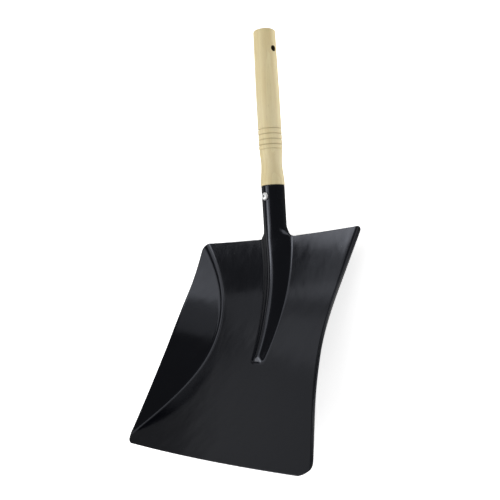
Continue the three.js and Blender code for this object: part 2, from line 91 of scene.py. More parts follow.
# The handle's radius and its distance from the socket's mouth, from the collar to the grip
WAIST = ((14.75, 7), (14.1, 13), (13.4, 20), (13.1, 27.5), (13.5, 35), (14.25, 43.4))
GROOVES_AT = (44.9, 50.3, 56.8, 63.4, 70)
GROOVE_STRENGTHS = (0.55, 1, 0.9, 1, 0.8)
GROOVE_RADIUS, GROOVE_HALF_WIDTH, GROOVE_SHARPNESS = 13.65, 1.2, 1.2
GRIP_RADIUS, GRIP_MIDDLE, GRIP_END, GRIP_END_RADIUS = 14.55, 114, 192.5, 13.7
DOME_EDGE, DOME_HEIGHT = 1.6, 4.1
HOLE_FROM_MOUTH, HOLE_RADIUS, HOLE_ROUND, HOLE_ROUND_REACH = 169, 3.6, 0.35, 0.3

SCREW_FROM_MOUTH = 13.4
SCREW_HEAD_RADIUS, SCREW_HEAD_HEIGHT, SCREW_HEAD_ROUNDING = 4.8, 3, 0.6
SCREW_HEAD_CHAMFER, SCREW_NECK, SCREW_NECK_FILLET = 0.25, 0.6, 0.2
SCREW_SHANK_RADIUS, SCREW_LENGTH, SCREW_POINT = 2.1, 19, 5
THREAD_PITCH, THREAD_DEPTH, THREAD_START, THREAD_FADE = 1.8, 0.6, 1.5, 1.5
THREAD_CREST, THREAD_FOOT, THREAD_CORE = 0.05, 0.5, 0.25
# The slots of the cross recess at its floor and at its top: length, width, height over the seat
RECESS_FLOOR, RECESS_TOP = (1.8, 1.0, 1.0), (3.8, 1.6, 3.4)
RECESS_TURN_DEG = 60

# ---- The view, in the same units ----

VIEW_AZIMUTH_DEG, VIEW_ELEVATION_DEG, VIEW_ROLL_DEG = 64.649, 38.849, -58.837
VIEW_TARGET = np.array([-3.88, 72.455, 57.73])
VIEW_DISTANCE = 849.55
VIEW_LENS, VIEW_SENSOR = 51.434, 36

# ---- The studio, in metres ----

CAMERA_CLIP = (0.01, 50)
FLOOR_SIZE, FLOOR_SHADE, FLOOR_GLOW = 14, 0.93, 0.8
BACKDROP_RADIUS, BACKDROP_HEIGHT, BACKDROP_SIDES, BACKDROP_GLOW = 7, 12, 48, 1
WORLD_STRENGTH = 0.12
LAMP_DISTANCE = 6


def smoothstep(value, low, high):
    t = np.clip((value - low) / (high - low), 0, 1)
    return t * t * (3 - 2 * t)


def mix(a, b, share):
    return a + (b - a) * share


# ---- The floor's bend ----

def bare_slope(along):
    """Angle of the floor above its straight front: the integral of a parabola of curvature."""
    t = np.clip(np.asarray(along, float) / PAN_LENGTH, 0, 1)

    def turned(s):
        rear = REAR_CURVATURE * (s - 1.5 * s**2 + 2 / 3 * s**3)
        return rear + MIDDLE_CURVATURE * (2 * s**2 - 4 / 3 * s**3)

    return PAN_LENGTH * (turned(1.0) - turned(t))


REST_SLOPE = float(bare_slope(REST_CENTRE))
REST_TURN = bare_slope(REST_CENTRE - REST_FLAT_LENGTH) - bare_slope(REST_CENTRE + REST_FLAT_LENGTH)
REST_CURVATURE = float(REST_TURN) / (2 * REST_FLAT_LENGTH)


def slope(along):
    """The floor's angle from the bench, eased so that the pan's ends lie where the CAD has them."""
    offset = np.asarray(along, float) - REST_CENTRE
    reach = np.clip(np.abs(offset) / REST_REACH, 0, 1)
    ease = REST_EASE * REST_CURVATURE * np.sin(math.pi * reach) ** 2
    return bare_slope(along) + np.sign(offset) * ease - REST_SLOPE


STEP = 0.5
stations = np.arange(0, PAN_LENGTH + 2 * FRONT_BOW, STEP)
tilts = slope(stations[:-1] + STEP / 2)
profile_y = np.concatenate([[0], -np.cumsum(np.cos(tilts)) * STEP])
profile_z = np.concatenate([[0], -np.cumsum(np.sin(tilts)) * STEP])
profile_y -= np.interp(REST_CENTRE, stations, profile_y)
profile_z += SHEET - np.interp(REST_CENTRE, stations, profile_z)


def floor_frames(x, along):
    """Places on the floor with their two directions, forwards along the sheet and up out of it."""
    along = np.asarray(along, float)
    tilt = slope(along)
    y = np.interp(along, stations, profile_y)
    z = np.interp(along, stations, profile_z)
    none = np.zeros_like(along)
    forward = np.stack([none, -np.cos(tilt), -np.sin(tilt)], -1)
    up = np.stack([none, -np.sin(tilt), np.cos(tilt)], -1)
    return np.stack([np.asarray(x, float) + none, y, z], -1), forward, up


# ---- The ridge ----

def ridge_half_width(along):
    linear, square = RIDGE_NARROWING
    return RIDGE_HALF_WIDTH - linear * along - square * along**2


def ridge_block(along):
    """Half the width of the strip of mesh that holds the ridge."""
    return ridge_half_width(np.minimum(along, RIDGE_TIP)) + RIDGE_MARGIN


def rounded_tent(share, roundness):
    """Falls from 1 on the crest to 0 at a share of 1, with the crest rounded off."""
    top = np.hypot(1, roundness)
    return (top - np.hypot(share, roundness)) / (top - roundness)


def soft_minimum(a, b, blend):
    """The lower of the two, rounded where they differ by less than the blend."""
    near = np.maximum(0, blend - np.abs(a - b)) / blend
    return np.minimum(a, b) - near**2 * blend / 4


def ridge_lift(x, along):
    """How far the sheet is pressed up: a tent that narrows forwards and ends in a short facet."""
    crest = RIDGE_HEIGHT - RIDGE_FALL * along - RIDGE_ROOT_DIP * np.exp(-along / RIDGE_ROOT_REACH)
    before_tip = np.minimum(along, RIDGE_TIP)
    roundness = mix(RIDGE_REAR_CREST, RIDGE_TIP_CREST, before_tip / RIDGE_TIP)
    tent = crest * rounded_tent(np.abs(x) / ridge_half_width(before_tip), roundness)
    beside = np.maximum(0, np.abs(x) - RIDGE_END_FLAT)
    front = RIDGE_TIP - along - beside**2 / (2 * RIDGE_END_RADIUS)
    height = soft_minimum(tent, RIDGE_END_SLOPE * front, RIDGE_END_BLEND)
    foot = np.maximum(0, height + RIDGE_FOOT) ** 2 / (4 * RIDGE_FOOT)
    return np.where(height > RIDGE_FOOT, height, foot)


# ---- The blank's outline and its curved fold lines ----

def corner_cut(radius, distance):
    inside = np.maximum(0, radius - distance)
    return radius - np.sqrt(radius**2 - inside**2)


def half_width(along):
    t = np.clip(along / PAN_LENGTH, 0, 1)
    side = mix(REAR_WIDTH, FRONT_WIDTH, t) / 2 + SIDE_BOW * 4 * t * (1 - t)
    return side - corner_cut(REAR_CORNER, along) - corner_cut(FRONT_CORNER, PAN_LENGTH - along)


def bowed(x, along):
    """Moves straight rows so that the rear and the front edge bow outwards in the middle."""
    rear = REAR_BOW * np.maximum(0, 1 - along / REST_CENTRE)
    front = FRONT_BOW * np.maximum(0, (along - RIDGE_TIP) / (PAN_LENGTH - RIDGE_TIP))
    return along + rear * (1 - (2 * x / REAR_WIDTH) ** 2) + front * (1 - (2 * x / FRONT_WIDTH) ** 2)


def heading(degrees):
    return np.array([math.sin(math.radians(degrees)), math.cos(math.radians(degrees))])


crease_start = np.array([REAR_WIDTH / 2 - CREASE_REAR_INSET, 0.0])
crease_end = np.array([
    mix(FRONT_WIDTH, REAR_WIDTH, CREASE_FRONT_INSET / PAN_LENGTH) / 2,
    PAN_LENGTH - CREASE_FRONT_INSET,
])
CREASE = (
    crease_start,
    crease_start + heading(-CREASE_REAR_DEG) * CREASE_REAR_REACH,
    crease_end - heading(CREASE_FRONT_DEG) * CREASE_FRONT_REACH,
    crease_end,
)
CREASE_SAMPLES = np.linspace(0, 1, 161)
CREASE_PASSES = 25


def crease_point(t):
    t = np.asarray(t, float)[..., None]
    a, b, c, d = CREASE
    return (1 - t) ** 3 * a + 3 * (1 - t) ** 2 * t * b + 3 * (1 - t) * t**2 * c + t**3 * d


def crease_tangent(t):
    t = np.asarray(t, float)[..., None]
    a, b, c, d = CREASE
    speed = 3 * (1 - t) ** 2 * (b - a) + 6 * (1 - t) * t * (c - b) + 3 * t**2 * (d - c)
    length = np.linalg.norm(speed, axis=-1, keepdims=True)
    return speed / length, length[..., 0]


def nearest_on_crease(spots):
    """The nearest place on the fold line, or on its straight run past an end, with the direction
    outwards and the distance that way."""
    samples = crease_point(CREASE_SAMPLES)
    squares = ((spots[:, None, :] - samples) ** 2).sum(-1)
    t = CREASE_SAMPLES[squares.argmin(1)]
    for _ in range(CREASE_PASSES):
        tangent, speed = crease_tangent(t)
        t = np.clip(t + ((spots - crease_point(t)) * tangent).sum(-1) / speed, 0, 1)
    tangent, _ = crease_tangent(t)
    place = crease_point(t)
    overrun = np.where((t > 0) & (t < 1), 0, ((spots - place) * tangent).sum(-1))
    place = place + overrun[:, None] * tangent
    outward = np.stack([tangent[:, 1], -tangent[:, 0]], -1)
    return place, outward, ((spots - place) * outward).sum(-1)


def fold_angle(along):
    t = np.clip(along / PAN_LENGTH, 0, 1)
    degrees = (FOLD_REAR_DEG * (1 - t) * (1 - 2 * t) + FOLD_MIDDLE_DEG * 4 * t * (1 - t)
               + FOLD_FRONT_DEG * t * (2 * t - 1))
    return np.radians(degrees)


def fold_radius(along):
    return mix(FOLD_REAR_RADIUS, FOLD_FRONT_RADIUS, np.clip(along / PAN_LENGTH, 0, 1))


def bend_reach(along):
    return fold_radius(along) * np.tan(fold_angle(along) / 2)


def press(x, along):
    """Takes points of the flat blank to their places on the pressed sheet's upper face."""
    spots = np.stack([np.abs(x), along], -1)
    place, outward, distance = nearest_on_crease(spots)
    reach = bend_reach(place[:, 1])
    angle = fold_angle(place[:, 1])
    radius = fold_radius(place[:, 1])
    origin, _, up = floor_frames(np.abs(x), along)
    on_floor = origin + up * ridge_lift(x, along)[:, None]
    turned = angle * np.clip((distance + reach) / (2 * reach), 0, 1)
    straight = np.maximum(0, distance - reach)
    across = -reach + radius * np.sin(turned) + straight * np.cos(angle)
    rise = radius * (1 - np.cos(turned)) + straight * np.sin(angle)
    origin, forward, up = floor_frames(place[:, 0], place[:, 1])
    folded = origin + up * rise[:, None] + forward * (across * outward[:, 1])[:, None]
    folded[:, 0] += across * outward[:, 0]
    points = np.where((distance <= -reach)[:, None], on_floor, folded)
    points[:, 0] *= np.where(x < 0, -1, 1)
    return points


# ---- The socket ----

root, _, _ = floor_frames(0, REAR_BOW)
ROOT_SLOPE = float(slope(REAR_BOW))
AXIS_SLOPE = math.radians(SOCKET_ANGLE_DEG) - REST_SLOPE
AXIS = np.array([0, math.cos(AXIS_SLOPE), math.sin(AXIS_SLOPE)])
SOCKET_UP = np.array([0, -AXIS[2], AXIS[1]])
ACROSS = np.array([1.0, 0, 0])
MOUTH = root + AXIS * SOCKET_LENGTH
SEAT = MOUTH - AXIS * SCREW_FROM_MOUTH + SOCKET_UP * (SOCKET_MOUTH_RADIUS + FIT_GAP)


def roll_socket(share, behind):
    """Places on the socket's outer face: behind the rear edge, and across it from -1 to 1."""
    middle = smoothstep(behind, 0, ROOT_BLEND)
    edge = np.sqrt(1 - np.maximum(0, 1 - behind / ROOT_FILLET) ** 2)
    rounding = mix(middle, edge, smoothstep(np.abs(share), ROOT_FLANK, 1))
    wrap = np.radians(mix(ROOT_WRAP_DEG, SOCKET_WRAP_DEG, smoothstep(behind, 0, ROOT_WRAP)))
    radius = mix(SOCKET_ROOT_RADIUS, SOCKET_MOUTH_RADIUS, behind / SOCKET_LENGTH)
    tilt = mix(ROOT_SLOPE, AXIS_SLOPE, middle)
    x = share * ridge_block(REAR_BOW)
    side = mix(x, radius * np.sin(wrap * share), rounding)
    rise = mix(ridge_lift(x, REAR_BOW + 0 * x), radius * np.cos(wrap * share), rounding)
    points = root + behind[:, None] * AXIS
    points = points + rise[:, None] * np.stack([0 * tilt, -np.sin(tilt), np.cos(tilt)], -1)
    points[:, 0] = side
    return points


# ---- Meshing the sheet ----

RIDGE_COLUMNS, FLOOR_COLUMNS, BEND_COLUMNS, WALL_COLUMNS = 40, 16, 12, 18
PAN_ROWS, CORNER_ROWS, FILLET_ROWS, SOCKET_ROWS = 190, 12, 24, 46
BEND_MARGIN, WALL_MARGIN, BEND_ROOM = 6, 3, 1.15
EDGE_TURNS_DEG = (30, 60, 90)


def even(start, stop, count):
    return np.linspace(start, stop, count, endpoint=False)


def crease_across(along):
    samples = crease_point(CREASE_SAMPLES)
    inside = np.interp(along, samples[:, 1], samples[:, 0])
    past = np.maximum(0, along - crease_end[1])
    return inside + past * math.tan(math.radians(CREASE_FRONT_DEG))


def right_columns(along):
    """Distances from the middle at which a row has points: ridge, floor, bend and wall."""
    edge = half_width(along) - EDGE_RADIUS
    fold = crease_across(along)
    reach = BEND_ROOM * bend_reach(along)
    block = ridge_block(along)
    bend_start = min(fold - reach, edge - BEND_MARGIN)
    bend_end = min(fold + reach, edge - WALL_MARGIN)
    return np.concatenate([
        even(0, block, RIDGE_COLUMNS),
        even(block, bend_start, FLOOR_COLUMNS),
        even(bend_start, bend_end, BEND_COLUMNS),
        even(bend_end, edge, WALL_COLUMNS),
        [edge],
    ])


def sheet_face():
    """Points and quads of the upper face: the pan's grid, and the socket's from its rear row on."""
    quarter = even(0, math.pi / 2, CORNER_ROWS)
    rows = np.concatenate([
        REAR_CORNER * (1 - np.cos(quarter)),
        even(REAR_CORNER, PAN_LENGTH - FRONT_CORNER, PAN_ROWS),
        PAN_LENGTH - FRONT_CORNER + FRONT_CORNER * np.sin(quarter),
        [PAN_LENGTH],
    ])
    rows = EDGE_RADIUS + rows * (PAN_LENGTH - 2 * EDGE_RADIUS) / PAN_LENGTH
    across = []
    for along in rows:
        right = right_columns(along)
        across.append(np.concatenate([-right[:0:-1], right]))
    x = np.array(across)
    along = bowed(x, np.repeat(rows[:, None], x.shape[1], 1))
    pan = press(x.ravel(), along.ravel())
    grid = np.arange(x.size).reshape(x.shape)
    quads = [np.stack([grid[:-1, :-1], grid[1:, :-1], grid[1:, 1:], grid[:-1, 1:]], -1).reshape(-1, 4)]
    middle = x.shape[1] // 2
    root_row = grid[0, middle - RIDGE_COLUMNS: middle + RIDGE_COLUMNS + 1]
    behind = np.concatenate([
        ROOT_FILLET * (1 - np.cos(even(0, math.pi / 2, FILLET_ROWS)))[1:],
        np.linspace(ROOT_FILLET, SOCKET_LENGTH - EDGE_RADIUS, SOCKET_ROWS + 1),
    ])
    share = np.linspace(-1, 1, 2 * RIDGE_COLUMNS + 1)
    share_grid, behind_grid = np.meshgrid(share, behind)
    socket = roll_socket(share_grid.ravel(), behind_grid.ravel())
    socket_grid = np.vstack([root_row, x.size + np.arange(share_grid.size).reshape(share_grid.shape)])
    quads.append(np.stack([socket_grid[:-1, :-1], socket_grid[:-1, 1:],
                           socket_grid[1:, 1:], socket_grid[1:, :-1]], -1).reshape(-1, 4))
    return np.vstack([pan, socket]), np.vstack(quads)


def unit(vectors):
    return vectors / np.maximum(np.linalg.norm(vectors, axis=-1, keepdims=True), TINY)


def thicken(points, quads):
    """Lays the sheet's thickness under its face, with a rounded edge all round. The upper face's
    own edge comes back too."""
    corners = points[quads]
    facing = np.cross(corners[:, 2] - corners[:, 0], corners[:, 3] - corners[:, 1])
    normals = np.zeros_like(points)
    for i in range(4):
        np.add.at(normals, quads[:, i], facing)
    normals = unit(normals)
    sides = {(int(q[i]), int(q[(i + 1) % 4])) for q in quads for i in range(4)}
    rim = np.array([side for side in sides if side[::-1] not in sides])
    outward = np.zeros_like(points)
    for end in (0, 1):
        along = unit(points[rim[:, 1]] - points[rim[:, 0]])
        np.add.at(outward, rim[:, end], np.cross(along, normals[rim[:, end]]))
    edge = np.unique(rim)
    out, up, base = unit(outward[edge]), normals[edge], points[edge]
    rings = []
    for depth, side, turns_deg in ((0, -1, EDGE_TURNS_DEG), (SHEET, 1, EDGE_TURNS_DEG[::-1])):
        for turn in np.radians(turns_deg):
            rise = side * EDGE_RADIUS * (1 - np.cos(turn)) - depth
            rings.append(base + EDGE_RADIUS * np.sin(turn) * out + rise * up)
    count = len(points)
    rank = np.full(count, -1)
    rank[edge] = np.arange(len(edge))
    between = [2 * count + i * len(edge) + rank[rim] for i in range(len(rings))]
    chain = [rim] + between + [rim + count]
    faces = [quads, quads[:, ::-1] + count]
    for a, b in zip(chain[:-1], chain[1:]):
        faces.append(np.stack([a[:, 1], a[:, 0], b[:, 0], b[:, 1]], -1))
    solid = np.vstack([points, points - SHEET * normals] + rings)
    return solid, np.vstack(faces), base


# ---- Turned pieces ----

TENON_RINGS, WAIST_STEPS, BODY_RINGS, GROOVE_RINGS, DOME_RINGS = 24, 30, 260, 13, 16
COLLAR_STEPS, DOME_EDGE_STEPS = 5, 8
SCREW_POINT_RINGS, SCREW_SHANK_RINGS, SCREW_CROWN_RINGS = 40, 90, 24
HANDLE_SIDES, HOLE_SIDES, SCREW_SIDES, SCREW_HOLE_SIDES = 128, 48, 48, 24


def arc(centre, radius, start_deg, end_deg, steps):
    """Points [radius, place] of a round stretch in a turned outline."""
    turns = np.radians(np.linspace(start_deg, end_deg, steps + 1))
    return np.stack([centre[0] + radius * np.cos(turns), centre[1] + radius * np.sin(turns)], -1)


def spline(points, steps):
    """A smooth curve through points (Catmull-Rom)."""
    points = np.asarray(points, float)
    before, after = np.vstack([points[:1], points[:-1]]), np.vstack([points[1:], points[-1:]])
    tangents = (after - before) / 2
    curve = []
    for i in range(len(points) - 1):
        a, b = points[i], points[i + 1]
        t = even(0, 1, steps)[:, None]
        curve.append((2 * t**3 - 3 * t**2 + 1) * a + (t**3 - 2 * t**2 + t) * tangents[i]
                     + (3 * t**2 - 2 * t**3) * b + (t**3 - t**2) * tangents[i + 1])
    return np.vstack(curve + [points[-1:]])


def lathe(outline, sides, place, axis, across):
    """Turns an outline of [radius, place along the axis], whose two ends lie on the axis."""
    outline = np.asarray(outline, float)
    third = np.cross(axis, across)
    turns = even(0, 2 * math.pi, sides)
    spokes = np.cos(turns)[:, None] * across + np.sin(turns)[:, None] * third
    rings = outline[1:-1]
    points = place + rings[:, None, 1:] * axis + rings[:, None, :1] * spokes
    start, end = place + outline[0, 1] * axis, place + outline[-1, 1] * axis
    grid = np.arange(len(rings) * sides).reshape(len(rings), sides)
    turned = np.roll(grid, -1, 1)
    quads = np.stack([grid[:-1], turned[:-1], turned[1:], grid[1:]], -1).reshape(-1, 4)
    first, last = grid.size, grid.size + 1
    faces = quads.tolist()
    faces += [[first, int(b), int(a)] for a, b in zip(grid[0], turned[0])]
    faces += [[last, int(a), int(b)] for a, b in zip(grid[-1], turned[-1])]
    return np.vstack([points.reshape(-1, 3), [start, end]]), faces


def handle_outline():
    """The handle as [radius, distance from the socket's mouth], from the tenon to the crown."""
    collar_radius = WAIST[0][0]
    tenon_end = [[0, -TENON_LENGTH], [TENON_RADIUS - TENON_CHAMFER, -TENON_LENGTH]]
    tenon_start, tenon_stop = [TENON_RADIUS, TENON_CHAMFER - TENON_LENGTH], [TENON_RADIUS, SHOULDER_GAP]
    tenon = np.linspace(tenon_start, tenon_stop, TENON_RINGS)
    round_centre = (collar_radius - COLLAR_ROUND, SHOULDER_GAP + COLLAR_ROUND)
    shoulder = arc(round_centre, COLLAR_ROUND, -90, 0, COLLAR_STEPS)
    across_groove = np.linspace(-GROOVE_HALF_WIDTH, GROOVE_HALF_WIDTH, GROOVE_RINGS)
    places = [np.linspace(WAIST[0][1], GRIP_END, BODY_RINGS)]
    places += [at + across_groove for at in GROOVES_AT]
    places = np.unique(np.round(np.concatenate(places), 2))
    known = np.vstack([
        spline(WAIST, WAIST_STEPS),
        [
            [GRIP_RADIUS, WAIST[-1][1] + 2 * GROOVE_HALF_WIDTH],
            [GRIP_RADIUS, GRIP_MIDDLE],
            [GRIP_END_RADIUS, GRIP_END],
        ],
    ])
    radii = np.interp(places, known[:, 1], known[:, 0])
    for at in GROOVES_AT:
        near = np.clip(np.abs(places - at) / GROOVE_HALF_WIDTH, 0, 1)
        radii -= (radii - GROOVE_RADIUS) * (1 - near) ** GROOVE_SHARPNESS
    body = np.stack([radii, places], -1)
    rim = arc((GRIP_END_RADIUS - DOME_EDGE, GRIP_END), DOME_EDGE, 0, 90, DOME_EDGE_STEPS)[1:]
    share = np.linspace(1, 0, DOME_RINGS)[1:]
    dome = np.stack([
        (GRIP_END_RADIUS - DOME_EDGE) * share,
        GRIP_END + DOME_HEIGHT - (DOME_HEIGHT - DOME_EDGE) * share**2,
    ], -1)
    return np.vstack([tenon_end, tenon, shoulder, body, rim, dome])


def screw_outline():
    """The screw as [radius, height over its seat], from its point to the top of its head."""
    shank_start = [SCREW_SHANK_RADIUS, SCREW_POINT - SCREW_LENGTH]
    point = np.linspace([0, -SCREW_LENGTH], shank_start, SCREW_POINT_RINGS)
    shank = np.linspace(shank_start, [SCREW_SHANK_RADIUS, -SCREW_NECK], SCREW_SHANK_RINGS)
    underside = [[SCREW_SHANK_RADIUS, -SCREW_NECK_FILLET], [SCREW_HEAD_RADIUS - SCREW_HEAD_CHAMFER, 0]]
    share = np.linspace(1, 0, SCREW_CROWN_RINGS)
    crown = np.stack([
        SCREW_HEAD_RADIUS * share,
        SCREW_HEAD_HEIGHT * (1 - SCREW_HEAD_ROUNDING * share**4),
    ], -1)
    rim = [[SCREW_HEAD_RADIUS, SCREW_HEAD_CHAMFER]]
    return np.vstack([point, shank[1:], underside, rim, crown])


# ---- Making Blender meshes ----

PAN_SHARP_DEG, HANDLE_SHARP_DEG, SCREW_SHARP_DEG, BEVEL_FROM_DEG = 60, 50, 40, 45
BEVEL_SEGMENTS = 3
ON_SURFACE = 0.05  # how near a point lies to a surface that it belongs to

front_edge, _, front_up = floor_frames(0, PAN_LENGTH + FRONT_BOW)
SHIFT = np.array([0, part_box("pan_with_socket")[0].y / MM - (front_edge - SHEET * front_up)[1], 0])


def new_object(name, points, faces):
    """A smooth mesh object from points in millimetres, moved to the frame's place and into metres."""
    mesh = bpy.data.meshes.new(name)
    mesh.from_pydata(((points + SHIFT) * MM).tolist(), [], [list(map(int, face)) for face in faces])
    mesh.shade_smooth()
    piece = bpy.data.objects.new(name, mesh)
    bpy.context.scene.collection.objects.link(piece)
    return piece


def cut(piece, cutter):
    """Cuts one object's shape out of another's and removes the cutter."""
    boolean = piece.modifiers.new("cut", "BOOLEAN")
    boolean.operation = "DIFFERENCE"
    boolean.solver = "EXACT"
    boolean.object = cutter
    depsgraph = bpy.context.evaluated_depsgraph_get()
    mesh = bpy.data.meshes.new_from_object(piece.evaluated_get(depsgraph))
    piece.modifiers.clear()
    piece.data = mesh
    piece.data.name = piece.name
    bpy.data.objects.remove(cutter)


def sharpen(piece, degrees):
    """Smooth shading, broken at edges that turn by more than so many degrees."""
    piece.data.shade_smooth()
    piece.data.set_sharp_from_angle(angle=math.radians(degrees))


def round_edges(piece, centre, reach, width):
    """Rounds the sharp edges within reach of a line through the centre from side to side."""
    mesh = bmesh.new()
    mesh.from_mesh(piece.data)
    centre = Vector((centre + SHIFT) * MM)
    sharp = []
    for edge in mesh.edges:
        middle = (edge.verts[0].co + edge.verts[1].co) / 2
        offset = middle - centre
        offset.x = 0
        if offset.length < reach * MM and len(edge.link_faces) == 2:
            if edge.calc_face_angle() > math.radians(BEVEL_FROM_DEG):
                sharp.append(edge)
    bmesh.ops.bevel(mesh, geom=sharp, offset=width * MM, segments=BEVEL_SEGMENTS,
                    affect="EDGES", profile=0.5)
    mesh.to_mesh(piece.data)
    mesh.free()


def cylinder_cutter(radius, start, stop, sides, place, axis, across):
    outline = [[0, start], [radius, start], [radius, stop], [0, stop]]
    return new_object("cutter", *lathe(outline, sides, place, axis, across))


def slot_cutter(place, axis, across):
    """A tapered slot of the screw's cross recess: wide at the top of the head, narrow at its floor."""
    third = np.cross(axis, across)
    corners = []
    for span, width, height in (RECESS_FLOOR, RECESS_TOP):
        for u, v in ((-1, -1), (1, -1), (1, 1), (-1, 1)):
            corners.append(place + across * u * span / 2 + third * v * width / 2 + axis * height)
    sides = [(i, (i + 1) % 4, (i + 1) % 4 + 4, i + 4) for i in range(4)]
    return new_object("cutter", np.array(corners), [(3, 2, 1, 0), (4, 5, 6, 7)] + sides)


def screw_hole_cutter():
    return cylinder_cutter(
        SCREW_SHANK_RADIUS + FIT_GAP, -SCREW_LENGTH - FIT_GAP, SOCKET_MOUTH_RADIUS,
        SCREW_HOLE_SIDES, SEAT, SOCKET_UP, ACROSS,
    )


def own_points(piece):
    """The piece's points in millimetres, where the shapes above have them."""
    return np.array([vertex.co for vertex in piece.data.vertices]) / MM - SHIFT


def mark(piece, name, values):
    """Stores a number at each of the piece's points, for its material to read."""
    attribute = piece.data.attributes.new(name, "FLOAT", "POINT")
    attribute.data.foreach_set("value", values)


def make_pan():
    points, faces, rim = thicken(*sheet_face())
    piece = new_object("pressed_pan", points, faces)
    cut(piece, screw_hole_cutter())
    sharpen(piece, PAN_SHARP_DEG)
    mark_rim(piece, rim)
    return piece


def mark_rim(piece, rim):
    """Marks each point's distance from the sheet's edge, in millimetres, for the worn paint there."""
    tree = KDTree(len(rim))
    for i, point in enumerate(rim):
        tree.insert(point, i)
    tree.balance()
    mark(piece, "rim_distance", [tree.find(point)[2] for point in own_points(piece)])


def make_handle():
    piece = new_object("turned_handle", *lathe(handle_outline(), HANDLE_SIDES, MOUTH, AXIS, ACROSS))
    hole, reach = MOUTH + AXIS * HOLE_FROM_MOUTH, 2 * GRIP_END_RADIUS
    cut(piece, cylinder_cutter(HOLE_RADIUS, -reach, reach, HOLE_SIDES, hole, ACROSS, AXIS))
    round_edges(piece, hole, HOLE_RADIUS + HOLE_ROUND_REACH, HOLE_ROUND)
    cut(piece, screw_hole_cutter())
    sharpen(piece, HANDLE_SHARP_DEG)
    mark_groove_shade(piece)
    mark_bore_shade(piece, hole, ACROSS, HOLE_RADIUS)
    return piece


def mark_groove_shade(piece):
    """Marks how deep each point lies in a turned groove, from 0 to 1, for the painted shade there."""
    places = (own_points(piece) - MOUTH) @ AXIS
    deep = np.zeros(len(places))
    for at, strength in zip(GROOVES_AT, GROOVE_STRENGTHS):
        near = np.clip(1 - np.abs(places - at) / GROOVE_HALF_WIDTH, 0, 1)
        deep = np.maximum(deep, strength * near)
    mark(piece, "groove", deep)


def mark_bore_shade(piece, centre, axis, radius):
    """Marks the wall of a bore with 1 and the rest with 0, for the painted shade inside it."""
    points = own_points(piece) - centre
    off_axis = np.linalg.norm(points - (points @ axis)[:, None] * axis, axis=1)
    mark(piece, "bore", (off_axis < radius + ON_SURFACE).astype(float))


def thread(angle, height):
    """How far the screw's surface lies inside its crest at an angle round it and a height."""
    turn = angle / (2 * math.pi) - height / THREAD_PITCH
    ridge = np.abs(turn - np.round(turn)) * 2
    return THREAD_DEPTH * smoothstep(ridge, THREAD_CREST, THREAD_FOOT)


def mark_recess_shade(piece):
    """Marks the floor of the screw's cross recess with 1 and the rest with 0, for the painted shade
    there.
    """
    span, _, floor_height = RECESS_FLOOR
    points = own_points(piece) - SEAT
    height = points @ SOCKET_UP
    off_axis = np.linalg.norm(points - height[:, None] * SOCKET_UP, axis=1)
    deep = (np.abs(height - floor_height) < ON_SURFACE) & (off_axis < span)
    mark(piece, "recess", deep.astype(float))


def make_screw():
    points, faces = lathe(screw_outline(), SCREW_SIDES, SEAT, SOCKET_UP, ACROSS)
    local = points - SEAT
    height = local @ SOCKET_UP
    radial = local - height[:, None] * SOCKET_UP
    radius = np.linalg.norm(radial, axis=1)
    angle = np.arctan2(radial @ np.cross(SOCKET_UP, ACROSS), radial @ ACROSS)
    cut_in = smoothstep(-height, THREAD_START, THREAD_START + THREAD_FADE)
    inside = thread(angle, height) * cut_in
    share = np.maximum(radius - inside, THREAD_CORE * radius) / np.maximum(radius, TINY)
    points = SEAT + height[:, None] * SOCKET_UP + radial * share[:, None]
    piece = new_object("pan_head_screw", points, faces)
    for quarter in (0, 90):
        turn = Matrix.Rotation(math.radians(RECESS_TURN_DEG + quarter), 3, Vector(SOCKET_UP))
        cut(piece, slot_cutter(SEAT, SOCKET_UP, np.array(turn @ Vector(ACROSS))))
    sharpen(piece, SCREW_SHARP_DEG)
    mark_recess_shade(piece)
    return piece


# ---- Materials ----

MIX_SHARE, MIX_A, MIX_B, MIX_RESULT = 0, 6, 7, 2


def new_material(name):
    material = bpy.data.materials.new(name)
    material.use_nodes = True
    tree = material.node_tree
    return material, tree, tree.nodes["Principled BSDF"]


def add(tree, kind, inputs=None, **settings):
    """Adds a node; each input is a value, or another node's output to link."""
    node = tree.nodes.new(kind)
    for name, value in settings.items():
        setattr(node, name, value)
    for name, value in (inputs or {}).items():
        if isinstance(value, bpy.types.NodeSocket):
            tree.links.new(value, node.inputs[name])
        else:
            node.inputs[name].default_value = value
    return node


def place_in(tree, scale=(1, 1, 1), turn=(0, 0, 0)):
    """Places on the piece in metres, turned and then scaled."""
    coordinates = add(tree, "ShaderNodeTexCoord").outputs["Object"]
    turned = add(tree, "ShaderNodeMapping", {"Vector": coordinates, "Rotation": turn})
    return add(tree, "ShaderNodeMapping", {"Vector": turned.outputs[0], "Scale": scale}).outputs[0]


def noise(tree, vector, scale, detail, roughness=0.55):
    inputs = {"Vector": vector, "Scale": scale, "Detail": detail, "Roughness": roughness}
    return add(tree, "ShaderNodeTexNoise", inputs).outputs["Fac"]


def remap(tree, value, low, high, to_low, to_high):
    inputs = {"Value": value, "From Min": low, "From Max": high, "To Min": to_low, "To Max": to_high}
    return add(tree, "ShaderNodeMapRange", inputs).outputs["Result"]


def blend_colours(tree, share, a, b):
    """Mixes two colours, each a node's output or three numbers."""
    ends = [end if isinstance(end, bpy.types.NodeSocket) else (*end, 1) for end in (a, b)]
    inputs = {MIX_SHARE: share, MIX_A: ends[0], MIX_B: ends[1]}
    return add(tree, "ShaderNodeMix", inputs, data_type="RGBA").outputs[MIX_RESULT]


def calculate(tree, operation, a, b):
    return add(tree, "ShaderNodeMath", {0: a, 1: b}, operation=operation).outputs[0]


def tint(tree, under, mask, strength, colour):
    """Lays a colour over another where the mask is 1, as strongly as it says."""
    return blend_colours(tree, calculate(tree, "MULTIPLY", mask, strength), under, colour)


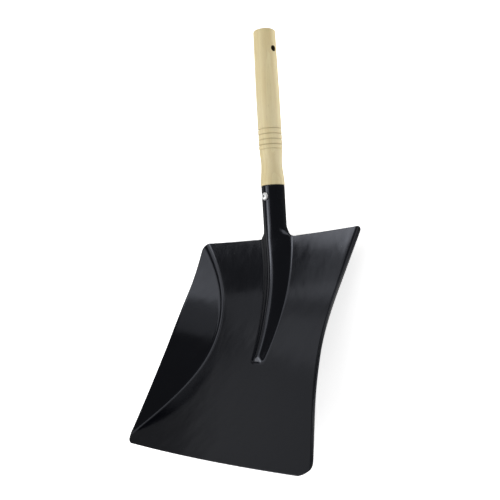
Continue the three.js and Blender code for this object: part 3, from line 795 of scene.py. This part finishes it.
def bump(tree, height, distance, normal=None):
    inputs = {"Height": height, "Distance": distance}
    if normal:
        inputs["Normal"] = normal
    return add(tree, "ShaderNodeBump", inputs).outputs[0]


def marked(tree, name):
    """A number that mark() stored at the piece's points."""
    return add(tree, "ShaderNodeAttribute", attribute_name=name).outputs["Fac"]


def black_enamel():
    """Stoved black paint on pressed steel: fine orange peel, handling marks, dust and a worn edge."""
    material, tree, shader = new_material("black_enamel")
    place = place_in(tree)
    broad = noise(tree, place, 22, 4)
    smears = noise(tree, place_in(tree, (90, 18, 90), (0.3, 0.2, 0.5)), 1, 5, 0.65)
    scratches = noise(tree, place_in(tree, (2600, 45, 2600), (0.1, 0.0, 0.7)), 1, 2)
    scratch = remap(tree, scratches, 0.66, 0.74, 0, 1)
    worn = remap(tree, marked(tree, "rim_distance"), 0.15, 0.9, 1, 0)
    chips = remap(tree, noise(tree, place, 160, 4), 0.42, 0.62, 0, 1)
    dust = add(tree, "ShaderNodeTexVoronoi", {"Vector": place, "Scale": 95.0, "Randomness": 1.0})
    speck = remap(tree, dust.outputs["Distance"], 0.03, 0.05, 1, 0)
    lone = remap(tree, noise(tree, place, 33, 1), 0.66, 0.68, 0, 1)

    deep, faded = (0.0012, 0.0014, 0.0026), (0.0019, 0.0022, 0.0038)
    scuffed, bare, dusty = (0.05, 0.05, 0.052), (0.09, 0.09, 0.095), (0.3, 0.29, 0.27)
    colour = blend_colours(tree, remap(tree, broad, 0.3, 0.7, 0, 1), deep, faded)
    colour = tint(tree, colour, scratch, 0.25, scuffed)
    colour = tint(tree, colour, calculate(tree, "MULTIPLY", worn, chips), 0.35, bare)
    colour = tint(tree, colour, calculate(tree, "MULTIPLY", speck, lone), 0.6, dusty)
    tree.links.new(colour, shader.inputs["Base Color"])

    roughness = remap(tree, broad, 0.3, 0.7, 0.12, 0.16)
    roughness = calculate(tree, "ADD", roughness, remap(tree, smears, 0.45, 0.75, 0, 0.05))
    roughness = calculate(tree, "ADD", roughness, calculate(tree, "MULTIPLY", scratch, 0.06))
    tree.links.new(roughness, shader.inputs["Roughness"])

    ripple = noise(tree, place_in(tree, (34, 22, 34), (0.2, 0.1, 0.4)), 1, 2)
    skin = bump(tree, ripple, 0.22 * MM)
    skin = bump(tree, noise(tree, place, 420, 2), 0.005 * MM, skin)
    skin = bump(tree, noise(tree, place, 60, 2), 0.01 * MM, skin)
    tree.links.new(skin, shader.inputs["Normal"])
    shader.inputs["Specular IOR Level"].default_value = 0.57
    shader.inputs["Specular Tint"].default_value = (0.84, 0.88, 1.0, 1)
    return material


def pale_wood():
    """Turned pale hardwood under thin lacquer: growth rings and short pores, with painted shade in the
    grooves and the bore.
    """
    material, tree, shader = new_material("pale_wood")
    turn = (-AXIS_SLOPE, 0, 0)
    streaks = noise(tree, place_in(tree, (260, 9, 260), turn), 1, 4, 0.6)
    from_pith = add(tree, "ShaderNodeVectorMath", {
        0: place_in(tree, (1, 0.06, 1), turn),
        1: (0.055, 0.0, 0.02),
    }, operation="ADD").outputs[0]
    rings = add(tree, "ShaderNodeTexWave", {
        "Vector": from_pith, "Scale": 95.0, "Distortion": 2.2, "Detail": 2.0, "Detail Scale": 1.2,
    }, wave_type="RINGS", rings_direction="Y", wave_profile="SAW").outputs["Fac"]
    pores = noise(tree, place_in(tree, (2600, 120, 2600), turn), 1, 2)
    pore = remap(tree, pores, 0.62, 0.72, 0, 1)
    broad = noise(tree, place_in(tree, (40, 9, 40), turn), 1, 3)
    # Painted shade: how deep a point lies in a turned groove
    groove = remap(tree, marked(tree, "groove"), 0.1, 0.9, 0, 1)
    # Painted shade: the wall of the bore through the handle's end
    bore = remap(tree, marked(tree, "bore"), 0.2, 0.9, 0, 1)

    streak_dark, streak_pale, late_ring = (0.80, 0.665, 0.36), (0.89, 0.775, 0.46), (0.74, 0.58, 0.29)
    pale_band, pore_brown = (0.88, 0.785, 0.53), (0.42, 0.30, 0.15)
    # The last two colours are painted shade: brown in the grooves, nearly black in the bore.
    groove_painted_shade, bore_painted_shade = (0.30, 0.21, 0.10), (0.05, 0.035, 0.015)
    colour = blend_colours(tree, remap(tree, streaks, 0.3, 0.7, 0, 1), streak_dark, streak_pale)
    colour = tint(tree, colour, rings, 0.55, late_ring)
    colour = tint(tree, colour, remap(tree, broad, 0.4, 0.7, 0, 1), 0.6, pale_band)
    colour = tint(tree, colour, pore, 0.35, pore_brown)
    # Painted shade, darker in the turned grooves
    colour = tint(tree, colour, groove, 0.5, groove_painted_shade)
    # Painted shade inside the bore, nearly black
    colour = blend_colours(tree, bore, colour, bore_painted_shade)
    tree.links.new(colour, shader.inputs["Base Color"])
    tree.links.new(remap(tree, streaks, 0.3, 0.7, 0.42, 0.55), shader.inputs["Roughness"])
    grain = bump(tree, streaks, 0.06 * MM)
    tree.links.new(bump(tree, pore, -0.05 * MM, grain), shader.inputs["Normal"])
    shader.inputs["Specular IOR Level"].default_value = 0.4
    return material


def bright_zinc():
    """Bright zinc plate: a mottled satin skin, and painted shade on the floor of the recess."""
    material, tree, shader = new_material("bright_zinc")
    place = place_in(tree)
    mottled = remap(tree, noise(tree, place, 900, 3), 0.35, 0.65, 0, 1)
    # Painted shade: the recess floor is marked and painted near black
    recess = remap(tree, marked(tree, "recess"), 0.1, 0.5, 0, 1)
    # The last colour is painted shade for the recess floor.
    dull, bright, recess_painted_shade = (0.85, 0.86, 0.87), (0.94, 0.94, 0.93), (0.02, 0.02, 0.024)
    colour = blend_colours(tree, recess, blend_colours(tree, mottled, dull, bright), recess_painted_shade)
    tree.links.new(colour, shader.inputs["Base Color"])
    satin = noise(tree, place, 2200, 2)
    tree.links.new(remap(tree, satin, 0.3, 0.7, 0.34, 0.44), shader.inputs["Roughness"])
    tree.links.new(bump(tree, noise(tree, place, 5000, 2), 0.006 * MM), shader.inputs["Normal"])
    shader.inputs["Metallic"].default_value = 0.5
    return material


# ---- The object ----

for piece, node, slot, material in (
    (make_pan(), "pan_with_socket", "black_enamel", black_enamel()),
    (make_handle(), "handle", "pale_wood", pale_wood()),
    (make_screw(), "socket_screw", "zinc", bright_zinc()),
):
    piece.data.materials.clear()
    piece.data.materials.append(material)
    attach(piece, "root")
    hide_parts(node)

# ---- Studio ----

def studio_surface(kind, corners, faces, shade, glow):
    """A plain matt surface of the studio that also gives off some light of its own."""
    mesh = bpy.data.meshes.new("studio_" + kind)
    mesh.from_pydata(corners, [], faces)
    surface = bpy.data.objects.new("studio_" + kind, mesh)
    bpy.context.scene.collection.objects.link(surface)
    material, _, shader = new_material("pale_" + kind)
    shader.inputs["Base Color"].default_value = (shade, shade, shade, 1)
    shader.inputs["Emission Color"].default_value = (1, 1, 1, 1)
    shader.inputs["Emission Strength"].default_value = glow
    mesh.materials.append(material)
    surface.visible_glossy = False
    return surface, shader


def make_floor():
    """A pale floor that the object throws a soft shadow on but doesn't mirror."""
    half = FLOOR_SIZE / 2
    corners = [(-half, -half, 0), (half, -half, 0), (half, half, 0), (-half, half, 0)]
    floor, shader = studio_surface("floor", corners, [(0, 1, 2, 3)], FLOOR_SHADE, FLOOR_GLOW)
    shader.inputs["Roughness"].default_value = 0.8


def make_backdrop():
    """A round wall behind the floor, as pale as its far edge. It sends no light to the object."""
    turns = even(0, 2 * math.pi, BACKDROP_SIDES)
    ring = [(BACKDROP_RADIUS * math.cos(turn), BACKDROP_RADIUS * math.sin(turn)) for turn in turns]
    corners = [(x, y, z) for z in (0, BACKDROP_HEIGHT) for x, y in ring]
    following = [(i, (i + 1) % BACKDROP_SIDES) for i in range(BACKDROP_SIDES)]
    faces = [(i, j, j + BACKDROP_SIDES, i + BACKDROP_SIDES) for i, j in following]
    backdrop, shader = studio_surface("backdrop", corners, faces, 0, BACKDROP_GLOW)
    shader.inputs["Roughness"].default_value = 1.0
    shader.inputs["Specular IOR Level"].default_value = 0.0
    backdrop.visible_diffuse = False
    backdrop.visible_shadow = False


def softbox(name, azimuth_deg, elevation_deg, spread_deg, radiance):
    """A rectangular lamp facing the object: its azimuth is from +Y towards +X, and its spread is
    its width and height in degrees."""
    azimuth, elevation = math.radians(azimuth_deg), math.radians(elevation_deg)
    direction = Vector((
        math.sin(azimuth) * math.cos(elevation),
        math.cos(azimuth) * math.cos(elevation),
        math.sin(elevation),
    ))
    width, height = (2 * LAMP_DISTANCE * math.tan(math.radians(angle / 2)) for angle in spread_deg)
    light = bpy.data.lights.new(name, "AREA")
    light.shape = "RECTANGLE"
    light.size, light.size_y = width, height
    light.energy = radiance * math.pi * width * height
    lamp = bpy.data.objects.new(name, light)
    lamp.location = Vector((VIEW_TARGET + SHIFT) * MM) + direction * LAMP_DISTANCE
    lamp.rotation_euler = direction.to_track_quat("Z", "Y").to_euler()
    lamp.visible_camera = False
    bpy.context.scene.collection.objects.link(lamp)


def make_world():
    world = bpy.data.worlds.new("studio")
    world.use_nodes = True
    background = world.node_tree.nodes["Background"]
    background.inputs["Color"].default_value = (1, 1, 1, 1)
    background.inputs["Strength"].default_value = WORLD_STRENGTH
    bpy.context.scene.world = world


def make_camera():
    """The view: round by an azimuth from -Y towards +X, up by an elevation, and rolled."""
    azimuth, elevation = math.radians(VIEW_AZIMUTH_DEG), math.radians(VIEW_ELEVATION_DEG)
    forward = Vector((
        -math.sin(azimuth) * math.cos(elevation),
        math.cos(azimuth) * math.cos(elevation),
        -math.sin(elevation),
    ))
    level = Vector((math.cos(azimuth), math.sin(azimuth), 0))
    upright = level.cross(forward)
    roll = math.radians(VIEW_ROLL_DEG)
    right = level * math.cos(roll) + upright * math.sin(roll)
    up = right.cross(forward)
    turn = Matrix((right, up, -forward)).transposed().to_4x4()
    place = Matrix.Translation((Vector(VIEW_TARGET + SHIFT) - forward * VIEW_DISTANCE) * MM)
    lens = bpy.data.cameras.new("camera")
    lens.lens = VIEW_LENS
    lens.sensor_width = VIEW_SENSOR
    lens.clip_start, lens.clip_end = CAMERA_CLIP
    camera = bpy.data.objects.new("camera", lens)
    camera.matrix_world = place @ turn
    bpy.context.scene.collection.objects.link(camera)
    bpy.context.scene.camera = camera


make_floor()
make_backdrop()
make_world()
make_camera()
softbox("front_window", -131, 45, (25, 38), 2.3)
softbox("front_fill", -162, 36, (56, 56), 1.55)
softbox("overhead", -90, 78, (46, 20), 1.2)
softbox("rear_window", 38, 42, (24, 40), 1.25)
softbox("rear_fill", -13, 44, (80, 42), 0.27)
softbox("rear_high", -66, 48, (28, 18), 0.28)
softbox("rear_corner", 60, 34, (24, 20), 0.4)
softbox("side_window", -104, 59, (32, 18), 0.75)
softbox("side_low", -94, 14, (40, 20), 0.36)
bpy.context.scene.view_settings.view_transform = "Standard"

bpy.context.view_layer.update()
